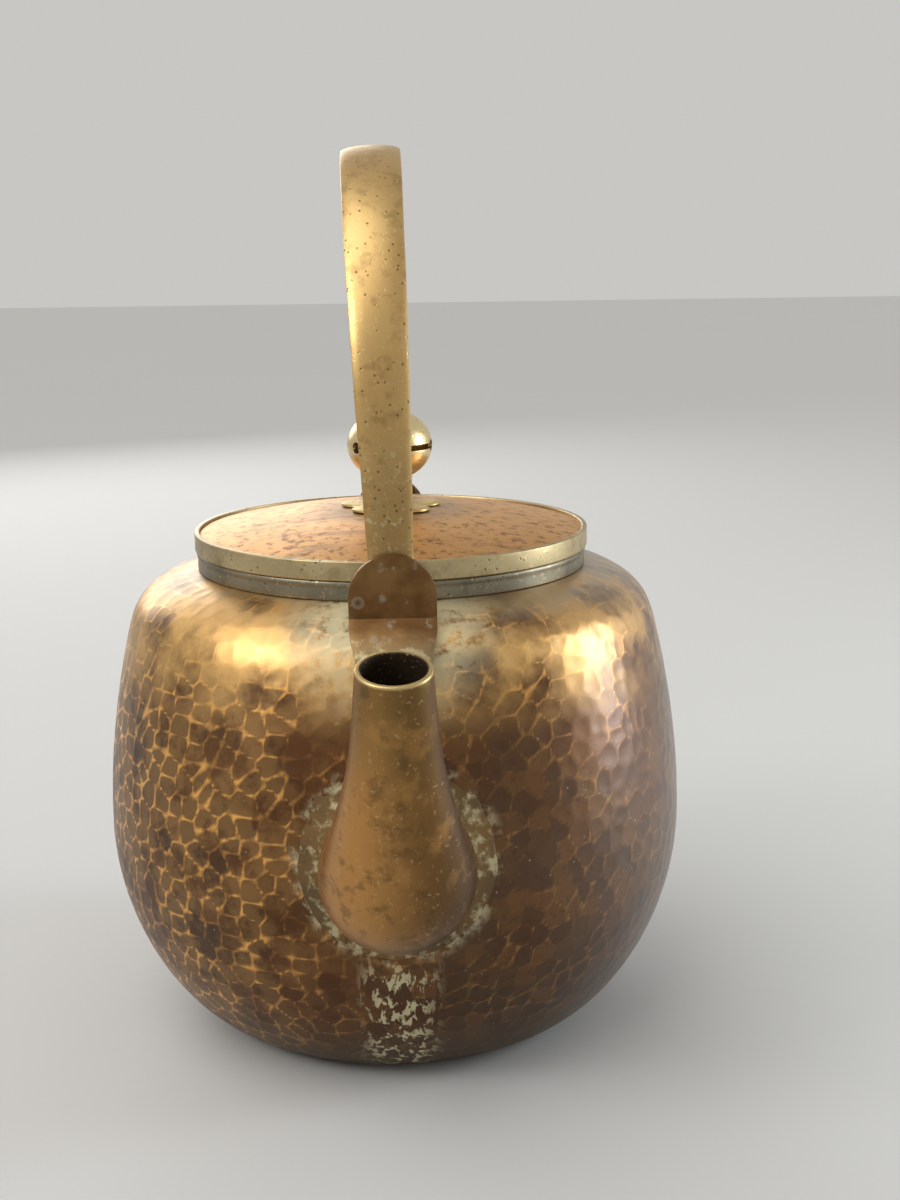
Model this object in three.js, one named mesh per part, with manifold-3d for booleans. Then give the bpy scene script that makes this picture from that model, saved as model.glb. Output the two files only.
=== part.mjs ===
// A hammered copper water ewer with a lift-off lid, a stub spout and a strap handle that folds over.
// Millimetres, +Z up. The origin is the centre of the flat base, and the spout points along -Y.
import * as THREE from 'three';
import { mergeVertices } from 'three/addons/utils/BufferGeometryUtils.js';
import Module from 'manifold-3d';

const wasm = await Module();
wasm.setup();

// Body of revolution: base, belly, shoulder and the foot of the neck
const baseRadius = 48;
const baseRimRise = 3;
const baseRimReach = 16;
const bodyRadius = 82.5;
const bellyHeight = 60;
const bellyLowerPull = 30;
const bellyUpperPull = 20;
const shoulderInset = 7.3;
const shoulderDrop = 15.9;
const shoulderPull = 16.5;
const shoulderTurn = 8;
const shoulderFlatten = 3.3;
const bodyHeight = 131.9;
const neckFootInset = 26.4;
const bodyWall = 1.4;

// Neck ring that stands on the shoulder and takes the lid
const neckSeatInset = 0.9;
const neckWall = 2.8;
const neckHeight = 5.3;
const neckBead = 0.7;

// Lid
const lidOverhang = 0.7;
const lidRimHeight = 5.3;
const lidRimWall = 1.5;
const lidLedgeDepth = 3.2;
const lidPlateWall = 1.2;
const lidDomeRise = 6.3;
const lidRimLip = 0.5;
const lidFlangeWall = 1.2;
const lidFlangeDrop = 11;
const lidFlangeClearance = 0.5;

// Knob: a slit ball on a stem over a five-petalled seat
const flowerRadius = 14.6;
const flowerPetals = 5;
const flowerPetalRadius = 5.6;
const flowerWall = 0.9;
const flowerBevel = 0.25;
const stemRadius = 2.4;
const stemCollarRadius = 4.2;
const stemCollarHeight = 6.4;
const stemWaistRadius = 3;
const stemBoreClearance = 0.1;
const washerRadius = 6;
const washerWall = 0.8;
const peenRadius = 3.6;
const peenHeight = 1.3;
const bellRadius = 12.05;
const bellHalfHeight = 10.1;
const bellWall = 1.1;
const bellSlitHeight = 1.5;
const bellEyeRadius = 1.6;
const bellEyeAngle = 52;

// Spout: a pear-shaped root that narrows to a short upright pipe
const spoutRootHeight = 70;
const spoutRootRadius = 19.6;
const spoutBulbReach = 14;
const spoutBulbLift = 4;
const spoutBulbRadius = 19.2;
const spoutWaistReach = 24.5;
const spoutWaistHeight = 89;
const spoutWaistRadius = 15.3;
const spoutNeckReach = 31;
const spoutNeckHeight = 108;
const spoutNeckRadius = 11;
const spoutMouthReach = 35.5;
const spoutMouthHeight = 130.4;
const spoutMouthRadius = 8.9;
const spoutMouthTilt = 14;
const spoutWall = 1.3;
const spoutInletRadius = 14;
const spoutFlangeRadius = 25.2;
const spoutFlangeWall = 1.3;

// Lugs that carry the handle
const lugWidth = 22.3;
const lugWall = 2.4;
const lugTopRise = 14.6;
const lugLidClearance = 11.6;
const lugFootLength = 8;
const lugFootWidth = 17;
const lugFootWall = 1.8;

// Handle strap and its pivot pins
const pivotRise = 7.1;
const pinRadius = 2;
const pinHeadRadius = 3.6;
const pinHeadHeight = 1.4;
const pinLugClearance = 0.05;
const pinStrapClearance = 0.08;
const strapWall = 3.2;
const strapCrown = 0.9;
const strapFootWidth = 11.6;
const strapCrownWidth = 16.4;
const strapEyeRadius = 6.3;
const strapTopHeight = 248.2;
const strapLugClearance = 0.3;
const handleLean = 2;

// Seats: soldered or resting faces, and faces that one piece cuts in another
const seatGap = 0.05;
const cutGap = 0.3;

// Facets
const roundSteps = 48;
const smallRoundSteps = 24;
const curveSteps = 6;

const shoulderRadius = bodyRadius - shoulderInset;
const shoulderHeight = bodyHeight - shoulderDrop;
const neckFootRadius = bodyRadius - neckFootInset;
const neckOuterRadius = neckFootRadius - neckSeatInset;
const neckInnerRadius = neckOuterRadius - neckWall;
const lidRadius = neckOuterRadius + lidOverhang;
const lugFaceReach = lidRadius + lugLidClearance;
const lugFootReach = lugFaceReach + lugFootLength;
const lugTopHeight = bodyHeight + lugTopRise;
const pivotHeight = bodyHeight + pivotRise;
const neckTop = bodyHeight + seatGap + neckHeight;
const lidRimBottom = neckTop + seatGap;
const lidRimTop = lidRimBottom + lidRimHeight;
const lidLedgeTop = lidRimBottom + lidLedgeDepth;
const lidPlateRadius = lidRadius - lidRimWall - seatGap;
const lidFlangeRadius = neckInnerRadius - lidFlangeClearance;
const lidPlateEdgeTop = lidLedgeTop + seatGap + lidPlateWall;
const lidCentreTop = lidPlateEdgeTop + lidDomeRise;
const flowerTop = lidCentreTop + seatGap + flowerWall;
const bellHeight = flowerTop + 2 * seatGap + stemCollarHeight + bellHalfHeight;
const strapOuterReach = lugFaceReach - lugWall - strapLugClearance;
const strapMidReach = strapOuterReach - strapWall / 2;

const copper = { color: 0x6b3f31, roughness: 0.42, metalness: 0.9 };
const warmCopper = { color: 0x8c5531, roughness: 0.4, metalness: 0.9 };
const darkCopper = { color: 0x46352f, roughness: 0.55, metalness: 0.8 };
const brass = { color: 0x9c7a3c, roughness: 0.38, metalness: 0.95 };
const greyBrass = { color: 0x6f6a58, roughness: 0.45, metalness: 0.9 };
const bronze = { color: 0x866138, roughness: 0.4, metalness: 0.9 };

const kettle = new THREE.Group();

// Put a finished geometry in the scene graph under its name
function addPiece(parent, name, geometry, look) {
  const mesh = new THREE.Mesh(geometry, new THREE.MeshStandardMaterial(look));
  mesh.name = name;
  parent.add(mesh);
  return mesh;
}

// A solid from a closed geometry, with the flat triangles at its poles left out
function toSolid(geometry) {
  const plain = geometry.clone();
  plain.deleteAttribute('normal');
  plain.deleteAttribute('uv');
  const merged = mergeVertices(plain, 1e-4);
  const index = merged.index.array;
  const kept = [];
  for (let i = 0; i < index.length; i += 3) {
    const [a, b, c] = [index[i], index[i + 1], index[i + 2]];
    if (a !== b && b !== c && c !== a) kept.push(a, b, c);
  }
  return new wasm.Manifold(new wasm.Mesh({
    numProp: 3,
    vertProperties: new Float32Array(merged.attributes.position.array),
    triVerts: new Uint32Array(kept),
  }));
}

function toGeometry(solid) {
  const mesh = solid.getMesh();
  const geometry = new THREE.BufferGeometry();
  geometry.setAttribute('position', new THREE.BufferAttribute(new Float32Array(mesh.vertProperties), 3));
  geometry.setIndex(new THREE.BufferAttribute(new Uint32Array(mesh.triVerts), 1));
  geometry.computeVertexNormals();
  return geometry;
}

// Revolve an outline of (radius, height) points about Z. The outline keeps the solid on its left
function revolve(outline, steps = roundSteps) {
  return new THREE.LatheGeometry(outline, steps).rotateX(Math.PI / 2);
}

const point = (x, y) => new THREE.Vector2(x, y);

function ring(innerRadius, outerRadius, bottom, top, steps = roundSteps) {
  return revolve([
    point(innerRadius, bottom),
    point(outerRadius, bottom),
    point(outerRadius, top),
    point(innerRadius, top),
    point(innerRadius, bottom),
  ], steps);
}

// A round bar along Y, centred on (x, z)
function barAlongY(radius, from, to, x, z, steps = smallRoundSteps) {
  const bar = new THREE.CylinderGeometry(radius, radius, Math.abs(to - from), steps);
  return bar.translate(x, (from + to) / 2, z);
}

// Skin over rings of points with the same count, closed by a fan at each end
function loft(rings) {
  const count = rings[0].length;
  const positions = rings.flat().flatMap((p) => [p.x, p.y, p.z]);
  const centres = [rings[0], rings[rings.length - 1]].map((ends) => {
    const centre = new THREE.Vector3();
    ends.forEach((p) => centre.addScaledVector(p, 1 / ends.length));
    return centre;
  });
  centres.forEach((p) => positions.push(p.x, p.y, p.z));
  const first = rings.length * count;
  const last = (rings.length - 1) * count;
  const index = [];
  for (let j = 0; j < count; j += 1) {
    const next = (j + 1) % count;
    for (let i = 0; i < rings.length - 1; i += 1) {
      const a = i * count + j;
      const b = i * count + next;
      index.push(a, b, b + count, a, b + count, a + count);
    }
    index.push(first, next, j);
    index.push(first + 1, last + j, last + next);
  }
  const geometry = new THREE.BufferGeometry();
  geometry.setAttribute('position', new THREE.Float32BufferAttribute(positions, 3));
  geometry.setIndex(index);
  geometry.computeVertexNormals();
  return geometry;
}

// Outer outline of the body from the base edge up to the foot of the neck
function bodyOutline() {
  const lower = new THREE.CubicBezierCurve(
    point(baseRadius, 0),
    point(baseRadius + baseRimReach, baseRimRise),
    point(bodyRadius, bellyHeight - bellyLowerPull),
    point(bodyRadius, bellyHeight),
  );
  const upper = new THREE.CubicBezierCurve(
    point(bodyRadius, bellyHeight),
    point(bodyRadius, bellyHeight + bellyUpperPull),
    point(shoulderRadius + shoulderPull / 4, shoulderHeight - shoulderPull),
    point(shoulderRadius, shoulderHeight),
  );
  const turn = new THREE.CubicBezierCurve(
    point(shoulderRadius, shoulderHeight),
    point(shoulderRadius - shoulderTurn / 4, shoulderHeight + shoulderTurn),
    point((shoulderRadius + neckFootRadius) / 2 + shoulderTurn / 2, bodyHeight - shoulderFlatten),
    point(neckFootRadius, bodyHeight),
  );
  return [
    ...lower.getPoints(curveSteps),
    ...upper.getPoints(curveSteps).slice(1),
    ...turn.getPoints(curveSteps).slice(1),
  ];
}

// Move each outline point along its own normal, outward when the distance is positive
function offsetOutline(outline, distance) {
  return outline.map((p, i) => {
    const before = outline[Math.max(i - 1, 0)];
    const after = outline[Math.min(i + 1, outline.length - 1)];
    const along = after.clone().sub(before).normalize();
    return point(p.x + along.y * distance, p.y - along.x * distance);
  });
}

// The filled body grown by a distance, to cut what is soldered onto it
function filledBody(distance) {
  const grown = offsetOutline(bodyOutline(), distance);
  const top = bodyHeight + distance;
  return toSolid(revolve([point(0, -distance), point(grown[0].x, -distance), ...grown, point(0, top)]));
}

// One raised sheet: flat base, belly, shoulder and a flat land under the neck ring
function bodyShell() {
  const outer = bodyOutline();
  const inner = offsetOutline(outer, -bodyWall).slice(1, -1).reverse();
  const outline = [
    point(0, 0),
    ...outer,
    point(neckInnerRadius, bodyHeight),
    point(neckInnerRadius, bodyHeight - bodyWall),
    point(neckFootRadius, bodyHeight - bodyWall),
    ...inner,
    point(baseRadius, bodyWall),
    point(0, bodyWall),
  ];
  const inlet = barAlongY(spoutInletRadius, -bodyRadius - spoutBulbReach, -bodyRadius / 2, 0, spoutRootHeight);
  return toGeometry(toSolid(revolve(outline)).subtract(toSolid(inlet)));
}

// Upright ring with a rounded bead round its top
function neckCollar() {
  const bottom = bodyHeight + seatGap;
  return revolve([
    point(neckInnerRadius, bottom),
    point(neckOuterRadius, bottom),
    point(neckOuterRadius, neckTop - 2 * neckBead),
    point(neckOuterRadius + neckBead / 2, neckTop - neckBead),
    point(neckOuterRadius, neckTop),
    point(neckInnerRadius, neckTop),
    point(neckInnerRadius, bottom),
  ]);
}

// Cross-sections of the spout, wider at the root. Grow moves the skin outward, and spare runs past the ends
function spoutRings(grow, spare) {
  const stations = [
    [0, spoutRootHeight, spoutRootRadius],
    [spoutBulbReach, spoutRootHeight + spoutBulbLift, spoutBulbRadius],
    [spoutWaistReach, spoutWaistHeight, spoutWaistRadius],
    [spoutNeckReach, spoutNeckHeight, spoutNeckRadius],
    [spoutMouthReach, spoutMouthHeight, spoutMouthRadius],
  ];
  const route = new THREE.CatmullRomCurve3(
    stations.map(([reach, height]) => new THREE.Vector3(0, -(bodyRadius + reach), height)),
    false, 'centripetal');
  const sizes = new THREE.SplineCurve(stations.map(([, , radius], i) => point(i / (stations.length - 1), radius)));
  const steps = 2 * curveSteps;
  const rings = [];
  for (let i = 0; i <= steps; i += 1) {
    const t = i / steps;
    const centre = route.getPoint(t);
    const tangent = route.getTangent(t);
    // The root faces the body, and the mouth is cut with its own tilt
    const rootAngle = Math.atan2(tangent.z, -tangent.y);
    const mouthAngle = Math.PI / 2 - THREE.MathUtils.degToRad(spoutMouthTilt);
    const angle = THREE.MathUtils.lerp(rootAngle, mouthAngle, THREE.MathUtils.smoothstep(t, 0.6, 1));
    const across = new THREE.Vector3(0, Math.sin(angle), Math.cos(angle));
    const out = new THREE.Vector3(0, -Math.cos(angle), Math.sin(angle));
    if (i === 0) centre.addScaledVector(out, -2 * spoutBulbReach);
    if (i === steps) centre.addScaledVector(out, spare);
    const radius = sizes.getPoint(t).y + grow;
    const section = [];
    for (let j = 0; j < smallRoundSteps; j += 1) {
      const turn = (2 * Math.PI * j) / smallRoundSteps;
      section.push(new THREE.Vector3(radius * Math.cos(turn), 0, 0)
        .addScaledVector(across, radius * Math.sin(turn)).add(centre));
    }
    rings.push(section);
  }
  return rings;
}

const spoutSolid = (grow, spare) => toSolid(loft(spoutRings(grow, spare)));

function spout() {
  const bore = spoutSolid(-spoutWall, 1);
  return toGeometry(spoutSolid(0, 0).subtract(bore).subtract(filledBody(cutGap)));
}

// Collar of sheet round the spout's root, dressed down onto the belly
function spoutFlange() {
  const blank = barAlongY(spoutFlangeRadius, -bodyRadius - spoutBulbReach, -bodyRadius / 2, 0, spoutRootHeight,
    2 * smallRoundSteps);
  return toGeometry(toSolid(blank)
    .intersect(filledBody(cutGap + spoutFlangeWall))
    .subtract(filledBody(cutGap))
    .subtract(spoutSolid(cutGap, 0)));
}

// Upright plate with a round top, and a foot that follows the shoulder
function lug() {
  const half = lugWidth / 2;
  const face = new THREE.Shape();
  const turnHeight = lugTopHeight - half;
  face.moveTo(-half, shoulderHeight);
  face.lineTo(half, shoulderHeight);
  face.lineTo(half, turnHeight);
  face.absarc(0, turnHeight, half, 0, Math.PI, false);
  const upright = new THREE.ExtrudeGeometry(face, { depth: lugWall, bevelEnabled: false, curveSegments: 16 })
    .rotateX(Math.PI / 2).translate(0, -lugFaceReach + lugWall, 0);
  const foot = new THREE.Shape([
    point(-half, -lugFaceReach + lugWall),
    point(-lugFootWidth / 2, -lugFootReach),
    point(lugFootWidth / 2, -lugFootReach),
    point(half, -lugFaceReach + lugWall),
  ]);
  const blankDepth = bodyHeight + lugFootWall - (shoulderHeight - shoulderPull);
  const tongue = new THREE.ExtrudeGeometry(foot, { depth: blankDepth, bevelEnabled: false })
    .translate(0, 0, shoulderHeight - shoulderPull);
  const bore = barAlongY(pinRadius + pinLugClearance, -lugFaceReach - 1, -lugFaceReach + lugWall + 1, 0, pivotHeight);
  return toGeometry(toSolid(tongue)
    .intersect(filledBody(cutGap + lugFootWall))
    .add(toSolid(upright))
    .subtract(filledBody(cutGap))
    .subtract(toSolid(bore)));
}

// Rivet from the lug's face through the strap, with a domed head on the inside
function pivotPin() {
  const inside = strapOuterReach - strapWall - seatGap;
  const length = lugFaceReach - inside;
  const outline = [point(0, 0), point(pinRadius, 0), point(pinRadius, length), point(pinHeadRadius, length)];
  const steps = 4;
  for (let i = 1; i <= steps; i += 1) {
    const turn = (Math.PI / 2) * (i / steps);
    outline.push(point(pinHeadRadius * Math.cos(turn), length + pinHeadHeight * Math.sin(turn)));
  }
  outline[outline.length - 1].x = 0;
  return new THREE.LatheGeometry(outline, smallRoundSteps).translate(0, -lugFaceReach, pivotHeight);
}

// Arched strap, widest at the crown, with a crowned outer face and a round eye at each foot
function handleStrap() {
  const archHeight = strapTopHeight - strapWall / 2 - strapMidReach;
  const legSteps = 4;
  const archSteps = 4 * curveSteps;
  const stations = [];
  for (let i = 0; i < legSteps; i += 1) {
    const height = pivotHeight + (archHeight - pivotHeight) * (i / legSteps);
    stations.push({ y: -strapMidReach, z: height, turn: 0 });
  }
  for (let i = 0; i <= archSteps; i += 1) {
    const turn = Math.PI * (i / archSteps);
    stations.push({
      y: -strapMidReach * Math.cos(turn), z: archHeight + strapMidReach * Math.sin(turn), turn,
    });
  }
  for (let i = legSteps - 1; i >= 0; i -= 1) {
    stations.push({ ...stations[i], y: strapMidReach, turn: Math.PI });
  }
  const rings = stations.map(({ y, z, turn }) => {
    const rise = (z - pivotHeight) / (strapTopHeight - pivotHeight);
    const half = THREE.MathUtils.lerp(strapFootWidth, strapCrownWidth, rise) / 2;
    const out = new THREE.Vector3(0, -Math.cos(turn), Math.sin(turn));
    const across = [[1, -1], [-1, -1], [-1, 1 - strapCrown], [-0.5, 1 - strapCrown / 4], [0, 1],
      [0.5, 1 - strapCrown / 4], [1, 1 - strapCrown]];
    return across.map(([side, level]) => new THREE.Vector3(side * half, y, z)
      .addScaledVector(out, level * (strapWall / 2)));
  });
  let strap = toSolid(loft(rings));
  const inner = strapOuterReach - strapWall;
  for (const side of [-1, 1]) {
    strap = strap.add(toSolid(barAlongY(strapEyeRadius, side * inner, side * strapOuterReach, 0, pivotHeight)));
  }
  const bore = barAlongY(pinRadius + pinStrapClearance, -lugFaceReach, lugFaceReach, 0, pivotHeight);
  return toGeometry(strap.subtract(toSolid(bore)));
}

// Gently domed plate with a hole for the knob's stem
function lidPlate() {
  const bore = stemRadius + stemBoreClearance;
  const dome = (edge) => {
    const curve = new THREE.QuadraticBezierCurve(
      point(0, edge + lidDomeRise),
      point(lidPlateRadius / 2, edge + lidDomeRise),
      point(lidPlateRadius, edge),
    );
    return curve.getPoints(curveSteps).map((p, i) => (i === 0 ? point(bore, p.y) : p));
  };
  const under = dome(lidPlateEdgeTop - lidPlateWall);
  const over = dome(lidPlateEdgeTop).reverse();
  return revolve([...under, ...over, under[0].clone()]);
}

// Band round the lid with a ledge that the plate rests on and a lip that stands a little proud
function lidRimBand() {
  const ledgeRadius = lidFlangeRadius + seatGap;
  const lip = lidRadius - lidRimWall;
  return revolve([
    point(ledgeRadius, lidRimBottom),
    point(lidRadius - lidRimLip, lidRimBottom),
    point(lidRadius, lidRimBottom + lidRimLip),
    point(lidRadius, lidRimTop - lidRimLip),
    point(lidRadius - lidRimLip, lidRimTop),
    point(lip, lidRimTop),
    point(lip, lidLedgeTop),
    point(ledgeRadius, lidLedgeTop),
    point(ledgeRadius, lidRimBottom),
  ]);
}

// Plain ring under the plate that drops inside the neck
function lidFlange() {
  return ring(lidFlangeRadius - lidFlangeWall, lidFlangeRadius, lidLedgeTop - lidFlangeDrop, lidLedgeTop);
}

// Five round petals cut from sheet
function flowerSeat() {
  const shape = new THREE.Shape();
  const reach = flowerRadius - flowerPetalRadius;
  const pitch = (2 * Math.PI) / flowerPetals;
  const meet = Math.asin((reach * Math.sin(pitch / 2)) / flowerPetalRadius);
  for (let i = 0; i < flowerPetals; i += 1) {
    const middle = -Math.PI / 2 + pitch * (i + 0.5);
    const open = pitch / 2 + meet;
    shape.absarc(reach * Math.cos(middle), reach * Math.sin(middle), flowerPetalRadius,
      middle - open, middle + open, false);
  }
  const hole = new THREE.Path().absarc(0, 0, stemRadius + stemBoreClearance, 0, 2 * Math.PI, true);
  shape.holes.push(hole);
  const petals = new THREE.ExtrudeGeometry(shape, {
    depth: flowerWall - 2 * flowerBevel,
    bevelThickness: flowerBevel,
    bevelSize: flowerBevel,
    bevelOffset: -flowerBevel,
    bevelSegments: 1,
    curveSegments: curveSteps,
  });
  return petals.translate(0, 0, lidCentreTop + seatGap + flowerBevel);
}

// Level under the domed plate where a flat washer meets it
function underPlate() {
  const drop = lidDomeRise * (washerRadius / lidPlateRadius) ** 2;
  return lidCentreTop - lidPlateWall - drop - seatGap;
}

function stemWasher() {
  const top = underPlate();
  return ring(stemRadius + stemBoreClearance, washerRadius, top - washerWall, top, smallRoundSteps);
}

// Waisted collar above the petals, a shank through the plate and a peened tail below the washer
function knobStem() {
  const tailTop = underPlate() - washerWall - seatGap;
  const collarBottom = flowerTop + seatGap;
  const collarTop = collarBottom + stemCollarHeight;
  return revolve([
    point(0, tailTop - peenHeight),
    point(peenRadius * 0.7, tailTop - peenHeight),
    point(peenRadius, tailTop - peenHeight / 2),
    point(peenRadius, tailTop),
    point(stemRadius, tailTop),
    point(stemRadius, collarBottom),
    point(stemCollarRadius, collarBottom),
    point(stemCollarRadius, collarBottom + stemCollarHeight / 5),
    point(stemWaistRadius, collarBottom + stemCollarHeight / 2),
    point(stemWaistRadius, collarTop),
    point(0, collarTop),
  ], smallRoundSteps);
}

// Hollow ball with a level slit across the front that ends in a round eye on each side
function knobBell() {
  const ball = (shrink) => new THREE.SphereGeometry(1, smallRoundSteps, smallRoundSteps / 2).rotateX(Math.PI / 2)
    .scale(bellRadius - shrink, bellRadius - shrink, bellHalfHeight - shrink);
  const eyeTurn = THREE.MathUtils.degToRad(bellEyeAngle);
  const slitReach = bellRadius * Math.sin(eyeTurn);
  const depth = bellRadius * Math.cos(eyeTurn) / 2;
  const slit = new THREE.BoxGeometry(2 * slitReach, bellRadius, bellSlitHeight)
    .translate(0, -depth - bellRadius / 2, 0);
  let solid = toSolid(ball(0)).subtract(toSolid(ball(bellWall))).subtract(toSolid(slit));
  for (const side of [-1, 1]) {
    const eye = new THREE.CylinderGeometry(bellEyeRadius, bellEyeRadius, bellRadius, 12)
      .translate(0, -bellRadius, 0).rotateZ(side * eyeTurn);
    solid = solid.subtract(toSolid(eye));
  }
  return toGeometry(solid).translate(0, 0, bellHeight);
}

addPiece(kettle, 'body_shell', bodyShell(), copper);
addPiece(kettle, 'neck_collar', neckCollar(), greyBrass);
addPiece(kettle, 'spout', spout(), bronze);
addPiece(kettle, 'spout_flange', spoutFlange(), warmCopper);

// The two ends of the handle are alike, the rear one turned half round
for (const end of ['front', 'rear']) {
  const side = new THREE.Group();
  side.rotation.z = end === 'front' ? 0 : Math.PI;
  addPiece(side, `${end}_lug`, lug(), darkCopper);
  addPiece(side, `${end}_pivot_pin`, pivotPin(), bronze);
  kettle.add(side);
}

// The handle stands leaning a little to the left, turned about its pins
const pivot = new THREE.Group();
pivot.position.z = pivotHeight;
pivot.rotation.y = -THREE.MathUtils.degToRad(handleLean);
const handle = addPiece(pivot, 'handle_strap', handleStrap(), brass);
handle.position.z = -pivotHeight;
kettle.add(pivot);

const lid = new THREE.Group();
addPiece(lid, 'lid_plate', lidPlate(), warmCopper);
addPiece(lid, 'lid_rim_band', lidRimBand(), greyBrass);
addPiece(lid, 'lid_flange', lidFlange(), darkCopper);
addPiece(lid, 'lid_flower_seat', flowerSeat(), brass);
addPiece(lid, 'lid_stem_washer', stemWasher(), darkCopper);
addPiece(lid, 'knob_stem', knobStem(), bronze);
addPiece(lid, 'knob_bell', knobBell(), brass);
kettle.add(lid);

export default kettle;
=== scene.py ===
"""A hammered copper water ewer with a stub spout, a lift-off lid and a strap handle."""
import math
import random

import bmesh
import bpy
from bpy.props import FloatProperty, FloatVectorProperty, IntProperty, PointerProperty
from mathutils import Matrix, Vector, noise
from mathutils.geometry import interpolate_bezier
from mathutils.kdtree import KDTree


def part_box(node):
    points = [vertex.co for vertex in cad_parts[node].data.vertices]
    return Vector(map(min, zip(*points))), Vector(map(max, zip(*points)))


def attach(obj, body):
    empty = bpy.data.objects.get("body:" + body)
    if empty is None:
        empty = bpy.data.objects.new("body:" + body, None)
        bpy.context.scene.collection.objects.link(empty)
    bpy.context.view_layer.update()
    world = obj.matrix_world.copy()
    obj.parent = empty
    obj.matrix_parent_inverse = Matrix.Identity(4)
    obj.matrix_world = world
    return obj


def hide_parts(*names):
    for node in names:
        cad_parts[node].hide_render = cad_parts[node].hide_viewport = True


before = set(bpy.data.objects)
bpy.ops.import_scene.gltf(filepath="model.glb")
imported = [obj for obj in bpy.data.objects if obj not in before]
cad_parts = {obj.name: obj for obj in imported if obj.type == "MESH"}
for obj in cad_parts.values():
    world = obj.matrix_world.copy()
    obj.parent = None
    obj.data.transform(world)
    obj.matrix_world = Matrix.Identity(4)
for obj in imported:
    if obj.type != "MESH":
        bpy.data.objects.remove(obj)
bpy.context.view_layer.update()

bl_info = {
    "name": "Copper water ewer",
    "version": (1, 0, 0),
    "blender": (4, 5, 0),
    "location": "View3D > Sidebar > Ewer",
    "description": "Dresses the packed frame of a hammered copper water ewer",
    "category": "Object",
}

MM = 0.001
FULL_TURN = 2 * math.pi
MOUTH_CENTRE = (0.0, -118.0 * MM, 130.4 * MM)
MOUTH_TILT = math.radians(14)
LIP_NORMAL = (0.0, -math.sin(MOUTH_TILT), math.cos(MOUTH_TILT))
LIP_LEVEL = sum(a * b for a, b in zip(MOUTH_CENTRE, LIP_NORMAL))


def node_box(node):
    """Lowest and highest corners of a frame node, as vectors."""
    low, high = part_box(node)
    return Vector(low), Vector(high)


BODY_LOW, BODY_HIGH = node_box("body_shell")
NECK_LOW, NECK_HIGH = node_box("neck_collar")
BAND_LOW, BAND_HIGH = node_box("lid_rim_band")
PLATE_LOW, PLATE_HIGH = node_box("lid_plate")
RING_LOW, RING_HIGH = node_box("lid_flange")
BELL_LOW, BELL_HIGH = node_box("knob_bell")
STEM_LOW, STEM_HIGH = node_box("knob_stem")
FLOWER_LOW, FLOWER_HIGH = node_box("lid_flower_seat")
LUG_LOW, LUG_HIGH = node_box("front_lug")
PIN_LOW, PIN_HIGH = node_box("front_pivot_pin")


def length(name, description, default):
    """A size in metres that a user may change."""
    return FloatProperty(name=name, description=description, default=default, unit="LENGTH", precision=5)


def colour(name, description, default):
    """A linear colour that a user may change."""
    return FloatVectorProperty(name=name, description=description, default=default, size=3,
                               subtype="COLOR", min=0.0, max=1.0)


class EwerSizes(bpy.types.PropertyGroup):
    body_radius: length("Body radius", "Widest radius of the belly", BODY_HIGH.x)
    body_height: length("Body height", "Height of the foot of the neck", BODY_HIGH.z)
    base_radius: length("Base radius", "Radius of the flat base", 48 * MM)
    belly_height: length("Belly height", "Height of the widest part", 60 * MM)
    shoulder_radius: length("Shoulder radius", "Radius where the shoulder starts to turn in", 75.2 * MM)
    shoulder_height: length("Shoulder height", "Height where the shoulder starts to turn in", 116 * MM)
    neck_foot_radius: length("Neck foot radius", "Radius where the shoulder meets the neck", 56.1 * MM)
    neck_bore: length("Neck bore", "Inner radius of the neck", 52.4 * MM)
    body_wall: length("Body wall", "Thickness of the copper sheet", 1.4 * MM)
    mark_pitch: length("Hammer mark pitch", "Distance between the centres of hammer marks", 6.4 * MM)
    mark_depth: length("Hammer mark depth", "Depth of a hammer mark at its centre", 0.16 * MM)
    spout_root_height: length("Spout root height", "Height of the middle of the spout's root", 70 * MM)
    spout_wall: length("Spout wall", "Thickness of the spout's sheet", 1.3 * MM)
    strap_foot_width: length("Strap foot width", "Width of the handle at its feet", 11.6 * MM)
    strap_crown_width: length("Strap crown width", "Width of the handle at its crown", 16.4 * MM)
    strap_wall: length("Strap thickness", "Thickness of the handle strap", 3.2 * MM)
    body_columns: IntProperty(name="Body columns", description="Faces round the body", default=510)


class EwerColours(bpy.types.PropertyGroup):
    patina: colour("Patina", "Dark brown of the hammered copper", (0.095, 0.036, 0.011))
    patina_grey: colour("Grey patina", "Plum grey of the hammered copper", (0.094, 0.054, 0.03))
    worn_copper: colour("Worn copper", "Orange copper on worn ridges", (0.95, 0.47, 0.12))
    lid_copper: colour("Lid copper", "Orange brown of the lid plate", (0.72, 0.39, 0.135))
    brass: colour("Brass", "Yellow brass of the knob and strap", (0.6, 0.4, 0.16))
    tarnish: colour("Tarnish", "Olive brown tarnish on brass", (0.24, 0.145, 0.055))
    grey_brass: colour("Grey brass", "Grey of the lid band and neck", (0.5, 0.4, 0.22))
    bronze: colour("Bronze", "Golden brown of the spout", (0.36, 0.19, 0.065))
    salt: colour("Salts", "Pale yellow green salts round the soldered seams", (0.6, 0.54, 0.33))
    floor: colour("Floor", "Pale floor and backdrop", (0.47, 0.465, 0.45))


def sizes():
    return bpy.context.scene.ewer_sizes


def colours():
    return bpy.context.scene.ewer_colours


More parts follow.
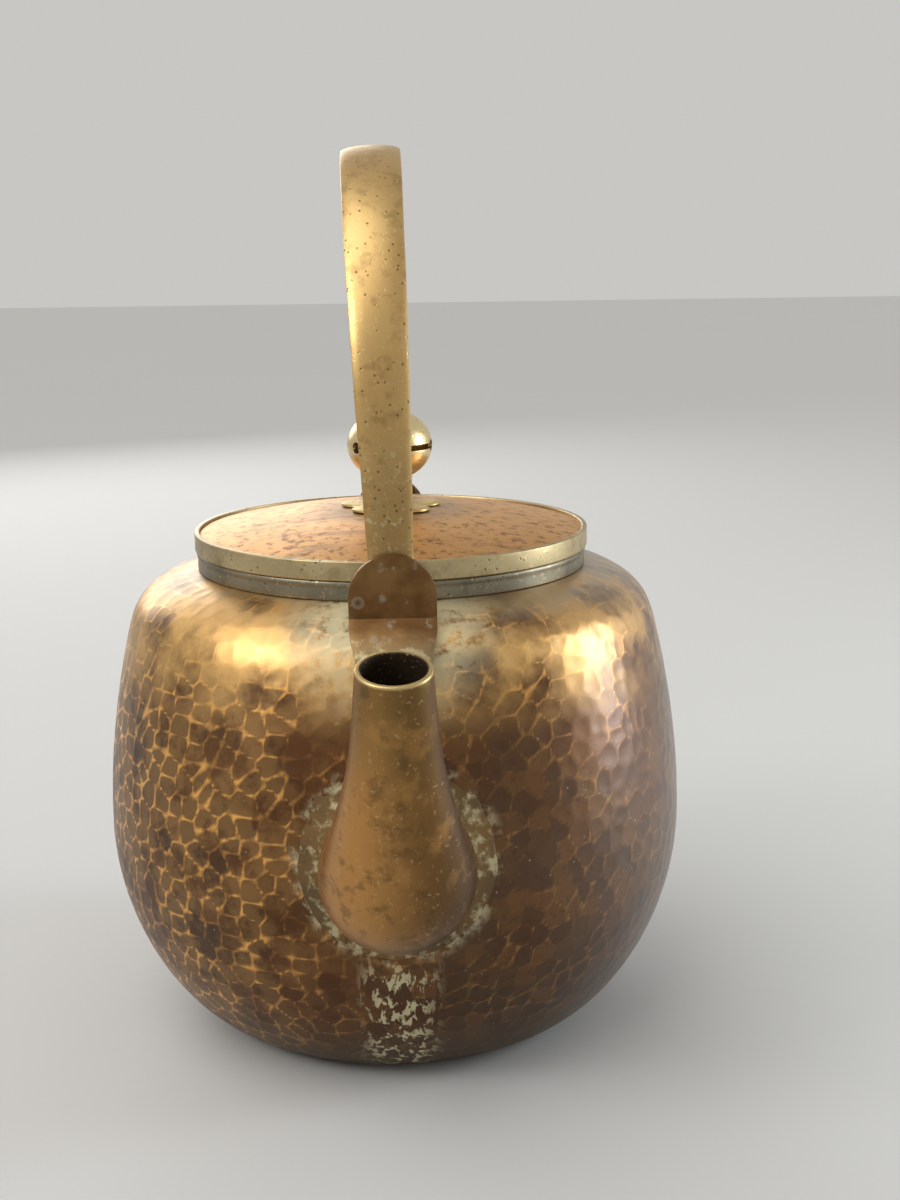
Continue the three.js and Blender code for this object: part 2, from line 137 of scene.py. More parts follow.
class Value:
    """A socket whose arithmetic adds Math nodes."""

    def __init__(self, shader, socket):
        self.shader = shader
        self.socket = socket

    def _math(self, operation, *values, clamp=False):
        inputs = {i: value for i, value in enumerate(values)}
        return self.shader.node("ShaderNodeMath", {"operation": operation, "use_clamp": clamp}, inputs)

    def __add__(self, other):
        return self._math("ADD", self, other)

    def __radd__(self, other):
        return self._math("ADD", other, self)

    def __sub__(self, other):
        return self._math("SUBTRACT", self, other)

    def __rsub__(self, other):
        return self._math("SUBTRACT", other, self)

    def __mul__(self, other):
        return self._math("MULTIPLY", self, other)

    def __rmul__(self, other):
        return self._math("MULTIPLY", other, self)

    def __truediv__(self, other):
        return self._math("DIVIDE", self, other)

    def __pow__(self, other):
        return self._math("POWER", self, other)

    def clamp(self):
        return self._math("ADD", self, 0.0, clamp=True)

    def absolute(self):
        return self._math("ABSOLUTE", self)

    def step(self, low, high):
        """0 below low and 1 above high, smooth between. Low may be above high."""
        settings = {"interpolation_type": "SMOOTHSTEP"}
        if low <= high:
            return self.shader.node("ShaderNodeMapRange", settings, {0: self, 1: low, 2: high, 3: 0.0, 4: 1.0})
        return self.shader.node("ShaderNodeMapRange", settings, {0: self, 1: high, 2: low, 3: 1.0, 4: 0.0})


class Shader:
    """One material's node tree, with a method that adds any node."""

    def __init__(self, name):
        self.material = bpy.data.materials.new(name)
        self.material.use_nodes = True
        self.tree = self.material.node_tree
        self.surface = next(n for n in self.tree.nodes if n.type == "BSDF_PRINCIPLED")
        self.coordinates = self.tree.nodes.new("ShaderNodeTexCoord")
        self.place = Value(self, self.coordinates.outputs["Object"])

    def node(self, kind, settings=None, inputs=None, output=0):
        """Add a node: its settings first, then the values or links of its sockets."""
        made = self.tree.nodes.new(kind)
        for key, value in (settings or {}).items():
            setattr(made, key, value)
        for key, value in (inputs or {}).items():
            self.feed(made.inputs[key], value)
        return Value(self, made.outputs[output])

    def feed(self, socket, value):
        """Link a value to a socket, or set what the socket holds itself."""
        if isinstance(value, Value):
            self.tree.links.new(value.socket, socket)
        elif hasattr(value, "__len__"):
            parts = tuple(value)
            socket.default_value = (*parts, 1.0) if len(socket.default_value) == 4 and len(parts) == 3 else parts
        else:
            socket.default_value = value

    def noise(self, scale, detail=4.0, roughness=0.55, place=None, distortion=0.0):
        """Cloudy pattern from about 0 to 1, with its scale in cycles a metre."""
        return self.node("ShaderNodeTexNoise", {"noise_dimensions": "3D"}, {
            "Vector": place or self.place, "Scale": scale, "Detail": detail,
            "Roughness": roughness, "Distortion": distortion,
        })

    def stretched(self, x, y, z):
        """Object coordinates scaled along each axis."""
        return self.node("ShaderNodeMapping", {"vector_type": "POINT"}, {"Vector": self.place, "Scale": (x, y, z)})

    def cells(self, scale, feature="F1", place=None):
        return self.node("ShaderNodeTexVoronoi", {"feature": feature}, {"Vector": place or self.place, "Scale": scale})

    def axis(self, index):
        return self.node("ShaderNodeSeparateXYZ", None, {0: self.place}, output=index)

    def attribute(self, name):
        made = self.node("ShaderNodeAttribute", {"attribute_name": name}, None, output=2)
        return made

    def blend(self, factor, low, high, mode="MIX"):
        """Mix two colours."""
        made = self.tree.nodes.new("ShaderNodeMix")
        made.data_type = "RGBA"
        made.blend_type = mode
        self.feed(made.inputs[0], factor)
        self.feed(made.inputs[6], low)
        self.feed(made.inputs[7], high)
        return Value(self, made.outputs[2])

    def distance(self, centre):
        """Distance of a point of the surface from a fixed centre."""
        return self.node("ShaderNodeVectorMath", {"operation": "DISTANCE"}, {0: self.place, 1: centre}, output=1)

    def finish(self, tint, roughness, height=None, bump=0.3, depth=0.0002, metallic=1.0, coat=0.0):
        self.feed(self.surface.inputs["Base Color"], tint)
        self.feed(self.surface.inputs["Roughness"], roughness)
        self.feed(self.surface.inputs["Metallic"], metallic)
        self.feed(self.surface.inputs["Coat Weight"], coat)
        self.feed(self.surface.inputs["Coat Roughness"], 0.3)
        if height is not None:
            normal = self.node("ShaderNodeBump", None, {"Strength": bump, "Distance": depth, "Height": height})
            self.feed(self.surface.inputs["Normal"], normal)
        return self.material


def scuffs(shader, scale=900.0):
    """Fine crossed scratches as a mask."""
    marks = 0
    for turn in (0.2, 1.1, 2.3):
        place = shader.node("ShaderNodeMapping", {"vector_type": "POINT"}, {
            "Vector": shader.place, "Rotation": (turn, turn * 0.7, turn * 1.3), "Scale": (1.0, 0.06, 1.0)})
        marks = shader.noise(scale, 2.0, 0.5, place).step(0.66, 0.72) + marks
    return marks.clamp()


def hammered_copper():
    """Brown patina with orange copper where the ridges between hammer marks are rubbed, with painted light on the left
    flank, a painted golden highlight on the shoulder and a painted floor reflection at the base.
    """
    c = colours()
    s = Shader("hammered_copper")
    ridge = s.attribute("hammer_ridge")
    cell = s.attribute("hammer_cell")
    height = s.axis(2)
    side = s.axis(0)
    front = s.axis(1)
    broad = s.noise(14.0, 3.0)
    patchy = s.noise(48.0, 4.0)
    fine = s.noise(420.0, 5.0)
    grain = s.noise(1500.0, 2.0)
    ground = s.blend(broad.step(0.36, 0.66), c.patina, c.patina_grey)
    ground = s.blend((cell * 0.6 + patchy * 0.5).step(0.3, 0.95) * 0.5, ground, (0.22, 0.1, 0.034))
    ground = s.blend(fine.step(0.5, 0.72) * 0.45, ground, (0.06, 0.03, 0.016))
    # The left flank and the shoulder get the most orange copper on their ridges, the front under the spout the least:
    # on the shoulder it is rubbed wear, on the left flank it is partly wear and partly painted light from that side
    flank = side.step(0.0, -0.055)
    shoulder = height.step(0.098, 0.12)
    wear_and_left_light = (flank * 0.75 + shoulder * 0.6 + 0.22).clamp()
    broken = s.noise(70.0, 5.0, 0.65).step(0.4, 0.56)
    width = 0.1 + s.noise(120.0, 3.0) * 0.42
    line = 1.0 - (ridge / width).clamp()
    rubbed = (line ** 1.2 * (broken * 0.85 + flank * 0.3) * wear_and_left_light * 1.3).clamp()
    tint = s.blend(rubbed * 0.95, ground, c.worn_copper)
    # Painted highlight: a golden sheen along the shoulder and on the broken ridges of the left flank
    golden = (shoulder * s.noise(60.0, 4.0).step(0.3, 0.62) * 0.8 + flank * broken * 0.22).clamp()
    tint = s.blend(golden, tint, (0.7, 0.42, 0.15))
    # Painted reflection of a dark floor: the base zone is greyer
    floor_reflection_zone = height.step(0.026, 0.004)
    tint = s.blend(floor_reflection_zone * 0.6, tint, (0.12, 0.09, 0.055))
    # Salts round the spout's root, under it and at the front of the neck
    root = s.distance((0.0, -0.084, sizes().spout_root_height))
    crusty = s.noise(520.0, 6.0, 0.7)
    halo = root.step(0.0295, 0.0252) * (s.noise(170.0, 5.0) * 0.6 + crusty * 0.5).step(0.5, 0.66) * 0.6
    drip_lane = side.absolute().step(0.013, 0.004) * height.step(0.05, 0.036) * front.step(-0.04, -0.06)
    runs = s.noise(430.0, 5.0, 0.6, s.stretched(1.0, 1.0, 0.15), 0.5)
    drips = drip_lane * (runs * 0.85 + crusty * 0.25).step(0.57, 0.61)
    neck = s.distance((0.0, -0.066, sizes().body_height))
    crust = neck.step(0.034, 0.012) * (s.noise(150.0, 5.0) * 0.6 + crusty * 0.5).step(0.44, 0.57)
    grey_ring = height.step(0.1255, 0.131) * s.noise(50.0, 4.0).step(0.35, 0.6)
    tint = s.blend(grey_ring * 0.6, tint, (0.34, 0.29, 0.2))
    salts = (halo + drips * 0.85 + crust * 0.75).clamp()
    tint = s.blend(salts, tint, c.salt)
    specks = s.cells(260.0).step(0.1, 0.03) * s.noise(30.0).step(0.48, 0.6)
    tint = s.blend(specks * 0.45, tint, (0.55, 0.45, 0.34))
    rough = 0.36 + patchy * 0.16 + salts * 0.3 - rubbed * 0.1 + floor_reflection_zone * 0.1
    metallic = 1.0 - salts * 0.75
    relief = fine * 0.5 + grain * 0.3 + salts * 0.8
    return s.finish(tint, rough, relief, bump=0.28, depth=0.00018, metallic=metallic,
                    coat=0.2 + side.step(0.03, 0.065) * 0.65)


def lid_copper():
    """Orange brown plate with dark speckles and level streaks, grey round the knob."""
    c = colours()
    s = Shader("lid_copper")
    broad = s.noise(22.0, 4.0)
    speckle = s.noise(330.0, 5.0, 0.65)
    streak = s.noise(120.0, 4.0, 0.6, s.stretched(0.25, 1.6, 1.0))
    tint = s.blend(broad.step(0.35, 0.65), c.lid_copper, (0.6, 0.31, 0.095))
    tint = s.blend(speckle.step(0.52, 0.64) * 0.75, tint, (0.2, 0.09, 0.035))
    tint = s.blend(streak.step(0.55, 0.68) * 0.5, tint, (0.24, 0.13, 0.06))
    middle = s.distance((0.0, 0.0, PLATE_HIGH.z)).step(0.03, 0.014)
    tint = s.blend(middle * 0.5, tint, (0.3, 0.27, 0.22))
    rough = 0.34 + speckle * 0.2 + middle * 0.08
    return s.finish(tint, rough, speckle + streak * 0.4, bump=0.3, depth=0.00025)


def rubbed_brass(name, base, dark, spots, dark_amount=0.5, pit=0.3, rough_base=0.28):
    """Brass or bronze with tarnish in clouds, fine scratches and small pits."""
    s = Shader(name)
    clouds = s.noise(38.0, 4.0)
    mottling = s.noise(170.0, 5.0, 0.6)
    pits = s.cells(520.0).step(0.22, 0.1) * s.noise(70.0).step(0.45, 0.6)
    lines = scuffs(s)
    tint = s.blend(clouds.step(0.36, 0.68) * dark_amount, base, dark)
    tint = s.blend(mottling.step(0.52, 0.7) * 0.5, tint, dark)
    tint = s.blend(pits * 0.8, tint, (0.06, 0.04, 0.025))
    tint = s.blend(s.noise(260.0, 3.0).step(0.66, 0.74) * 0.4, tint, spots)
    tint = s.blend(lines * 0.3, tint, (0.75, 0.6, 0.36))
    rough = rough_base + clouds * 0.16 + mottling * 0.1 - lines * 0.06
    return s.finish(tint, rough, mottling * 0.5 - pits * 1.2 - lines * 0.2, bump=pit, depth=0.0002)


def strap_brass():
    """The handle's brass: golden above, darker and olive near its feet."""
    c = colours()
    s = Shader("strap_brass")
    height = s.axis(2)
    clouds = s.noise(45.0, 4.0)
    mottling = s.noise(230.0, 5.0, 0.6)
    pits = s.cells(430.0).step(0.2, 0.08)
    lines = scuffs(s)
    feet = height.step(0.2, 0.15)
    tint = s.blend(clouds.step(0.35, 0.68) * 0.45, c.brass, (0.46, 0.27, 0.1))
    tint = s.blend(feet * 0.65, tint, (0.27, 0.18, 0.075))
    tint = s.blend(mottling.step(0.5, 0.7) * 0.45, tint, c.tarnish)
    tint = s.blend(feet * s.noise(300.0).step(0.62, 0.7) * 0.5, tint, c.salt)
    tint = s.blend(pits * 0.7, tint, (0.08, 0.05, 0.025))
    tint = s.blend(lines * 0.25, tint, (0.8, 0.62, 0.34))
    rough = 0.3 + clouds * 0.14 + feet * 0.12 + mottling * 0.06
    return s.finish(tint, rough, mottling * 0.5 - pits - lines * 0.2, bump=0.3, depth=0.0002)


def spout_bronze():
    """Smooth bronze: orange brown at the root, darker olive at the mouth, pale rubbed lip, with painted light on the
    left side and painted shade on the right.
    """
    c = colours()
    s = Shader("spout_bronze")
    height = s.axis(2)
    side = s.axis(0)
    clouds = s.noise(32.0, 4.0)
    mottling = s.noise(190.0, 5.0, 0.6)
    lines = scuffs(s, 700.0)
    upper = height.step(0.095, 0.125)
    # Painted light from the left: the left side of the spout is brighter orange
    lit_left_side = side.step(0.004, -0.016)
    tint = s.blend(clouds.step(0.35, 0.7) * 0.5, c.bronze, (0.24, 0.135, 0.045))
    tint = s.blend(lit_left_side * 0.75, tint, (0.6, 0.3, 0.09))
    tint = s.blend(upper * 0.6, tint, (0.15, 0.1, 0.036))
    # Painted shade: the right side of the spout is darker
    tint = s.blend(s.axis(0).step(-0.006, 0.012) * 0.75, tint, (0.085, 0.043, 0.015))
    tint = s.blend(s.noise(190.0, 6.0, 0.68).step(0.5, 0.64) * 0.28, tint, (0.085, 0.05, 0.02))
    tint = s.blend(s.noise(90.0, 5.0, 0.6).step(0.52, 0.66) * 0.35, tint, (0.5, 0.26, 0.08))
    tint = s.blend(mottling.step(0.52, 0.7) * 0.35, tint, (0.1, 0.065, 0.035))
    level = s.node("ShaderNodeVectorMath", {"operation": "DOT_PRODUCT"}, {0: s.place, 1: LIP_NORMAL}, output=1)
    lip = level.step(LIP_LEVEL - 0.0009, LIP_LEVEL - 0.0003)
    tint = s.blend(lip * 0.85, tint, (0.6, 0.45, 0.2))
    tint = s.blend(lines * 0.25, tint, (0.66, 0.46, 0.25))
    rough = 0.26 + clouds * 0.14 + mottling * 0.08 + upper * 0.05
    return s.finish(tint, rough, mottling * 0.4 - lines * 0.2, bump=0.22, depth=0.00018)


def lug_patina():
    """Dark brown copper with pale water rings, and a paler foot with salts."""
    c = colours()
    s = Shader("lug_patina")
    height = s.axis(2)
    clouds = s.noise(90.0, 4.0)
    fine = s.noise(480.0, 4.0)
    rings = s.cells(150.0).step(0.34, 0.3) * s.cells(150.0).step(0.2, 0.26)
    tint = s.blend(clouds.step(0.36, 0.66), (0.15, 0.075, 0.028), (0.25, 0.14, 0.055))
    tint = s.blend(rings * 0.4, tint, (0.38, 0.33, 0.26))
    tint = s.blend(s.noise(220.0).step(0.6, 0.7) * 0.45, tint, (0.4, 0.34, 0.25))
    foot = height.step(0.128, 0.122)
    tint = s.blend(foot * 0.6, tint, (0.36, 0.27, 0.14))
    tint = s.blend(foot * s.noise(240.0).step(0.48, 0.6) * 0.7, tint, c.salt)
    rough = 0.42 + clouds * 0.18 + rings * 0.1
    return s.finish(tint, rough, fine + rings * 0.5, bump=0.3, depth=0.0002)


def seam_solder():
    """Solder and copper scale on the collar round the spout's root."""
    c = colours()
    s = Shader("seam_solder")
    clouds = s.noise(60.0, 4.0)
    crust = s.noise(260.0, 5.0, 0.6)
    tint = s.blend(clouds.step(0.38, 0.64), (0.2, 0.12, 0.05), (0.13, 0.09, 0.05))
    tint = s.blend(crust.step(0.48, 0.64) * 0.6, tint, c.salt)
    tint = s.blend(s.noise(500.0).step(0.6, 0.7) * 0.5, tint, (0.07, 0.045, 0.03))
    return s.finish(tint, 0.42 + crust * 0.25, crust, bump=0.45, depth=0.0003,
                    metallic=1.0 - crust.step(0.52, 0.68) * 0.4)


def plain_stage():
    c = colours()
    s = Shader("pale_floor")
    mottling = s.noise(3.0, 3.0)
    tint = s.blend(mottling.step(0.3, 0.7) * 0.06, c.floor, (0.4, 0.395, 0.38))
    return s.finish(tint, 0.75, metallic=0.0)


def finish_mesh(mesh_data, name, material, smooth_angle=38.0):
    """Turn a bmesh into an object with outward normals and smooth faces between sharp edges."""
    bmesh.ops.remove_doubles(mesh_data, verts=mesh_data.verts, dist=1e-6)
    bmesh.ops.recalc_face_normals(mesh_data, faces=mesh_data.faces)
    limit = math.radians(smooth_angle)
    for face in mesh_data.faces:
        face.smooth = True
    for edge in mesh_data.edges:
        edge.smooth = len(edge.link_faces) == 2 and edge.calc_face_angle(0.0) < limit
    mesh = bpy.data.meshes.new(name)
    mesh_data.to_mesh(mesh)
    mesh_data.free()
    mesh.materials.append(material)
    piece = bpy.data.objects.new(name, mesh)
    bpy.context.scene.collection.objects.link(piece)
    return piece


def settle(piece, body, node):
    """Put a piece on its body in place of a frame node, and hide that node."""
    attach(piece, body)
    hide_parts(node)


def wire(mesh_data, points, closed=False):
    """An open or closed chain of edges through points in the XZ plane."""
    verts = [mesh_data.verts.new((x, 0.0, z)) for x, z in points]
    edges = [mesh_data.edges.new(pair) for pair in zip(verts, verts[1:])]
    if closed:
        edges.append(mesh_data.edges.new((verts[-1], verts[0])))
    return verts + edges


def turned(points, steps=192, closed=False):
    """Spin an outline of (radius, height) points round the Z axis."""
    made = bmesh.new()
    geometry = wire(made, points, closed)
    bmesh.ops.spin(made, geom=geometry, cent=(0, 0, 0), axis=(0, 0, 1), angle=FULL_TURN,
                   steps=steps, use_merge=True)
    bmesh.ops.remove_doubles(made, verts=made.verts, dist=1e-7)
    bmesh.ops.dissolve_degenerate(made, dist=1e-8, edges=made.edges)
    return made


def rounded(points, radius, steps=4, closed=True):
    """Round the corners of an outline of (radius, height) points."""
    out = []
    count = len(points)
    for i, current in enumerate(points):
        here = Vector(current)
        if not closed and i in (0, count - 1):
            out.append(tuple(here))
            continue
        before = Vector(points[i - 1]) - here
        after = Vector(points[(i + 1) % count]) - here
        reach = min(radius, before.length / 2.2, after.length / 2.2)
        start = here + before.normalized() * reach
        end = here + after.normalized() * reach
        for k in range(steps + 1):
            t = k / steps
            out.append(tuple(start.lerp(here, t).lerp(here.lerp(end, t), t)))
    return out


def lofted(section, places, cap=True):
    """Extrude a closed ring of (across, out) points through a list of matrices."""
    made = bmesh.new()
    verts = [made.verts.new(places[0] @ Vector((x, y, 0.0))) for x, y in section]
    first = [made.edges.new(pair) for pair in zip(verts, verts[1:] + verts[:1])]
    edges = first
    for before, after in zip(places, places[1:]):
        grown = bmesh.ops.extrude_edge_only(made, edges=edges)["geom"]
        ring = [g for g in grown if isinstance(g, bmesh.types.BMVert)]
        edges = [g for g in grown if isinstance(g, bmesh.types.BMEdge)]
        bmesh.ops.transform(made, matrix=after @ before.inverted(), verts=ring)
    if cap:
        bmesh.ops.contextual_create(made, geom=first)
        bmesh.ops.contextual_create(made, geom=edges)
    return made, first, edges


def body_curve(steps):
    """The body's outer outline from the base edge to the foot of the neck."""
    s = sizes()
    belly = (s.body_radius, s.belly_height)
    lower = interpolate_bezier(
        Vector((s.base_radius, 0, 0)), Vector((s.base_radius + 16 * MM, 3 * MM, 0)),
        Vector((belly[0], belly[1] - 30 * MM, 0)), Vector((*belly, 0)), steps * 5)
    upper = interpolate_bezier(
        Vector((*belly, 0)), Vector((belly[0], belly[1] + 20 * MM, 0)),
        Vector((s.shoulder_radius + 4.125 * MM, s.shoulder_height - 16.5 * MM, 0)),
        Vector((s.shoulder_radius, s.shoulder_height, 0)), steps * 4)
    turn = interpolate_bezier(
        Vector((s.shoulder_radius, s.shoulder_height, 0)),
        Vector((s.shoulder_radius - 2 * MM, s.shoulder_height + 8 * MM, 0)),
        Vector(((s.shoulder_radius + s.neck_foot_radius) / 2 + 4 * MM, s.body_height - 8 * MM / 2.4, 0)),
        Vector((s.neck_foot_radius, s.body_height, 0)), steps * 2)
    chain = [*lower, *upper[1:], *turn[1:]]
    return [(p.x, p.y) for p in chain]


def inward(points, distance):
    """An outline moved along its own normals towards the inside."""
    out = []
    for i, here in enumerate(points):
        before = Vector(points[max(i - 1, 0)])
        after = Vector(points[min(i + 1, len(points) - 1)])
        along = (after - before).normalized()
        out.append((here[0] - along.y * distance, here[1] + along.x * distance))
    return out


def hammer_centres(outline):
    """Centres of the hammer marks in staggered rows up the body, each moved a little."""
    s = sizes()
    dice = random.Random(11)
    centres = []
    travelled = 0.0
    row = 0
    next_row = 0.0
    for (r0, z0), (r1, z1) in zip(outline, outline[1:]):
        travelled += math.hypot(r1 - r0, z1 - z0)
        if travelled < next_row:
            continue
        next_row += s.mark_pitch * 0.84
        row += 1
        count = max(8, round(FULL_TURN * r1 / s.mark_pitch))
        for k in range(count):
            turn = FULL_TURN * (k + 0.5 * (row % 2) + dice.uniform(-0.38, 0.38)) / count
            height = z1 + dice.uniform(-0.36, 0.36) * s.mark_pitch
            centres.append(Vector((r1 * math.cos(turn), r1 * math.sin(turn), height)))
    return centres


def hammer(made, outline):
    """Press the hammer marks into the outer skin and keep each point's ridge and cell values."""
    s = sizes()
    centres = hammer_centres(outline)
    tree = KDTree(len(centres))
    for i, centre in enumerate(centres):
        tree.insert(centre, i)
    tree.balance()
    dice = random.Random(5)
    shades = [dice.random() for _ in centres]
    depths = [dice.uniform(0.6, 1.25) for _ in centres]
    ridge_layer = made.verts.layers.float.new("hammer_ridge")
    cell_layer = made.verts.layers.float.new("hammer_cell")
    for vert in made.verts:
        vert[ridge_layer] = 1.0
        radius = math.hypot(vert.co.x, vert.co.y)
        if vert.co.z < 0.4 * MM or radius < s.neck_foot_radius * 0.7:
            continue
        near = tree.find_n(vert.co, 2)
        (_, first, d1), (_, _, d2) = near
        if d1 > s.mark_pitch:
            continue
        span = s.mark_pitch * 0.5
        dish = max(0.0, 1.0 - (d1 / (d1 + d2) * 2.0) ** 2)
        vert[ridge_layer] = min(1.0, (d2 - d1) / span)
        vert[cell_layer] = shades[first]
        inside = Vector((vert.co.x, vert.co.y, 0)).normalized()
        fade = min(1.0, max(0.0, (vert.co.z - 0.5 * MM) / (6 * MM)))
        fade *= min(1.0, max(0.0, (s.body_height - vert.co.z) / (1.5 * MM)))
        lean = min(1.0, max(0.0, (vert.co.z - s.shoulder_height) / (s.body_height - s.shoulder_height)))
        push = (inside * (1.0 - lean) + Vector((0, 0, 1)) * lean).normalized()
        vert.co -= push * (s.mark_depth * depths[first] * dish * fade)


class EWER_OT_body(bpy.types.Operator):
    """Raise the hammered body and finish its patina"""
    bl_idname = "ewer.body"
    bl_label = "Hammered body"

    def execute(self, context):
        s = sizes()
        outline = body_curve(15)
        inner = inward(body_curve(2), s.body_wall)
        land = s.body_height - s.body_wall
        points = [
            (0.0, 0.0), (s.base_radius * 0.5, 0.0), *outline,
            (s.neck_bore, s.body_height), (s.neck_bore, land), (s.neck_foot_radius, land),
            *reversed(inner[1:-1]), (s.base_radius, s.body_wall), (0.0, s.body_wall),
        ]
        made = turned(points, s.body_columns)
        hammer(made, outline)
        piece = finish_mesh(made, "hammered_body", hammered_copper(), 60.0)
        settle(piece, "ewer", "body_shell")
        return {"FINISHED"}


class EWER_OT_neck(bpy.types.Operator):
    """Turn the neck ring with its bead"""
    bl_idname = "ewer.neck"
    bl_label = "Neck ring"

    def execute(self, context):
        s = sizes()
        low, high = NECK_LOW.z, NECK_HIGH.z
        outer = 55.2 * MM
        points = [(s.neck_bore, low), (outer, low), (outer, high - 1.9 * MM),
                  (NECK_HIGH.x - 0.02 * MM, high - 0.9 * MM),
                  (outer, high), (s.neck_bore, high)]
        material = rubbed_brass("neck_brass", (0.26, 0.23, 0.16), (0.1, 0.09, 0.075), colours().salt, 0.6)
        piece = finish_mesh(turned(rounded(points, 0.5 * MM), 256, closed=True), "neck_ring", material)
        settle(piece, "ewer", "neck_collar")
        return {"FINISHED"}


def spout_places(grow, start_back, end_extra, steps=44):
    """Matrices along the spout, each scaled to its radius."""
    s = sizes()
    reach = s.body_radius
    stations = [
        (0.0, s.spout_root_height, 19.6 * MM),
        (14 * MM, s.spout_root_height + 4 * MM, 19.2 * MM),
        (24.5 * MM, s.spout_root_height + 19 * MM, 15.3 * MM),
        (31 * MM, s.spout_root_height + 38 * MM, 11 * MM),
        (35.5 * MM, s.spout_root_height + 60.4 * MM, 8.9 * MM),
    ]
    chain = [Vector((-(reach + out), height, radius)) for out, height, radius in stations]
    chain = [2 * chain[0] - chain[1], *chain, 2 * chain[-1] - chain[-2]]
    places = []
    for i in range(steps + 1):
        t = (len(stations) - 1) * i / steps
        k = min(int(t), len(stations) - 2)
        u = t - k
        p0, p1, p2, p3 = chain[k:k + 4]
        spot = 0.5 * (2 * p1 + (p2 - p0) * u + (2 * p0 - 5 * p1 + 4 * p2 - p3) * u * u
                      + (3 * p1 - p0 - 3 * p2 + p3) * u ** 3)
        slope = 0.5 * ((p2 - p0) + 2 * (2 * p0 - 5 * p1 + 4 * p2 - p3) * u
                       + 3 * (3 * p1 - p0 - 3 * p2 + p3) * u * u)
        angle = math.atan2(slope.y, -slope.x)
        fade = min(1.0, max(0.0, (i / steps - 0.6) / 0.4))
        fade = fade * fade * (3 - 2 * fade)
        angle += (math.radians(76) - angle) * fade
        out = Vector((0, -math.cos(angle), math.sin(angle)))
        across = Vector((0, math.sin(angle), math.cos(angle)))
        centre = Vector((0, spot.x, spot.y))
        if i == 0:
            centre -= out * start_back
        if i == steps:
            centre += out * end_extra
        radius = spot.z + grow
        matrix = Matrix((
            (radius, 0, 0, centre.x),
            (0, across.y * radius, out.y * radius, centre.y),
            (0, across.z * radius, out.z * radius, centre.z),
            (0, 0, 0, 1),
        ))
        places.append(matrix)
    return places


class EWER_OT_spout(bpy.types.Operator):
    """Raise the spout from its pear-shaped root to its rubbed lip"""
    bl_idname = "ewer.spout"
    bl_label = "Spout"

    def execute(self, context):
        s = sizes()
        count = 96
        ring = [(math.cos(FULL_TURN * k / count), math.sin(FULL_TURN * k / count)) for k in range(count)]
        sink = 6 * MM
        outer = spout_places(0.0, sink, 0.0)
        inner = spout_places(-s.spout_wall, sink, 0.0)
        whole, _, _ = lofted(ring, [*outer, *reversed(inner), outer[0]], cap=False)
        bmesh.ops.remove_doubles(whole, verts=whole.verts, dist=0.01 * MM)
        middle = s.spout_root_height + 30 * MM
        lip = [e for e in whole.edges if e.is_manifold and e.calc_face_angle(0.0) > math.radians(60)
               and e.verts[0].co.z > middle]
        bmesh.ops.bevel(whole, geom=lip, offset=0.35 * MM, offset_type="OFFSET", segments=3, profile=0.5,
                        affect="EDGES", material=-1)
        piece = finish_mesh(whole, "spout_pipe", spout_bronze(), 50.0)
        # Dark scale with painted shade inside the bore: the inner faces get a near-black finish
        piece.data.materials.append(rubbed_brass("bore_scale_and_shade", (0.09, 0.06, 0.035), (0.04, 0.028, 0.02),
                                                 (0.2, 0.16, 0.1), 0.6, rough_base=0.5))
        for face in piece.data.polygons:
            near = min(outer, key=lambda place: (face.center - place.translation).length)
            skin = near.col[0].length - 0.6 * s.spout_wall
            face.material_index = int((face.center - near.translation).length < skin)
        trim_inside_body(piece)
        settle(piece, "ewer", "spout")
        return {"FINISHED"}


def trim_inside_body(piece):
    """Keep the spout's root out of the body's wall by moving its hidden end to the outer skin."""
    s = sizes()
    outline = body_curve(6)
    for vert in piece.data.vertices:
        place = vert.co
        if place.z > s.spout_root_height + 30 * MM:
            continue
        skin = radius_at(outline, place.z) + 0.25 * MM
        depth = skin * skin - place.x * place.x
        if depth > 0 and place.y > -math.sqrt(depth):
            place.y = -math.sqrt(depth)


def radius_at(outline, height):
    """Outer radius of the body at a height."""
    for (r0, z0), (r1, z1) in zip(outline, outline[1:]):
        if z0 <= height <= z1:
            t = (height - z0) / (z1 - z0) if z1 > z0 else 0.0
            return r0 + (r1 - r0) * t
    return outline[0][0]


class EWER_OT_spout_collar(bpy.types.Operator):
    """Dress the collar of sheet and solder round the spout's root"""
    bl_idname = "ewer.spout_collar"
    bl_label = "Spout collar"

    def execute(self, context):
        s = sizes()
        outline = body_curve(6)
        made = bmesh.new()
        inner, outer, levels, count = 19.2 * MM, 25.2 * MM, 12, 128
        profile = []
        for k in range(levels + 1):
            t = k / levels
            rise = 1.1 * MM * (1.0 - t) ** 1.4 + 0.36 * MM
            profile.append((inner + (outer - inner) * t, rise))
        profile = [(inner, 0.22 * MM), *profile, (outer, 0.22 * MM)]
        geometry = wire(made, profile, closed=True)
        bmesh.ops.spin(made, geom=geometry, cent=(0, 0, 0), axis=(0, 0, 1), angle=FULL_TURN,
                       steps=count, use_merge=True)
        for vert in made.verts:
            away = vert.co.z
            wander = noise.noise(Vector((vert.co.x, vert.co.y, 0)) * 160) * 0.8 * MM
            reach = math.hypot(vert.co.x, vert.co.y)
            push = (reach - inner) / (outer - inner)
            x = vert.co.x * (1 + wander * push / outer)
            z = vert.co.y * (1 + wander * push / outer) + s.spout_root_height
            skin = radius_at(outline, z) + away
            vert.co = Vector((x, -math.sqrt(max(1e-9, skin * skin - x * x)), z))
        piece = finish_mesh(made, "spout_collar", seam_solder(), 60.0)
        settle(piece, "ewer", "spout_flange")
        return {"FINISHED"}


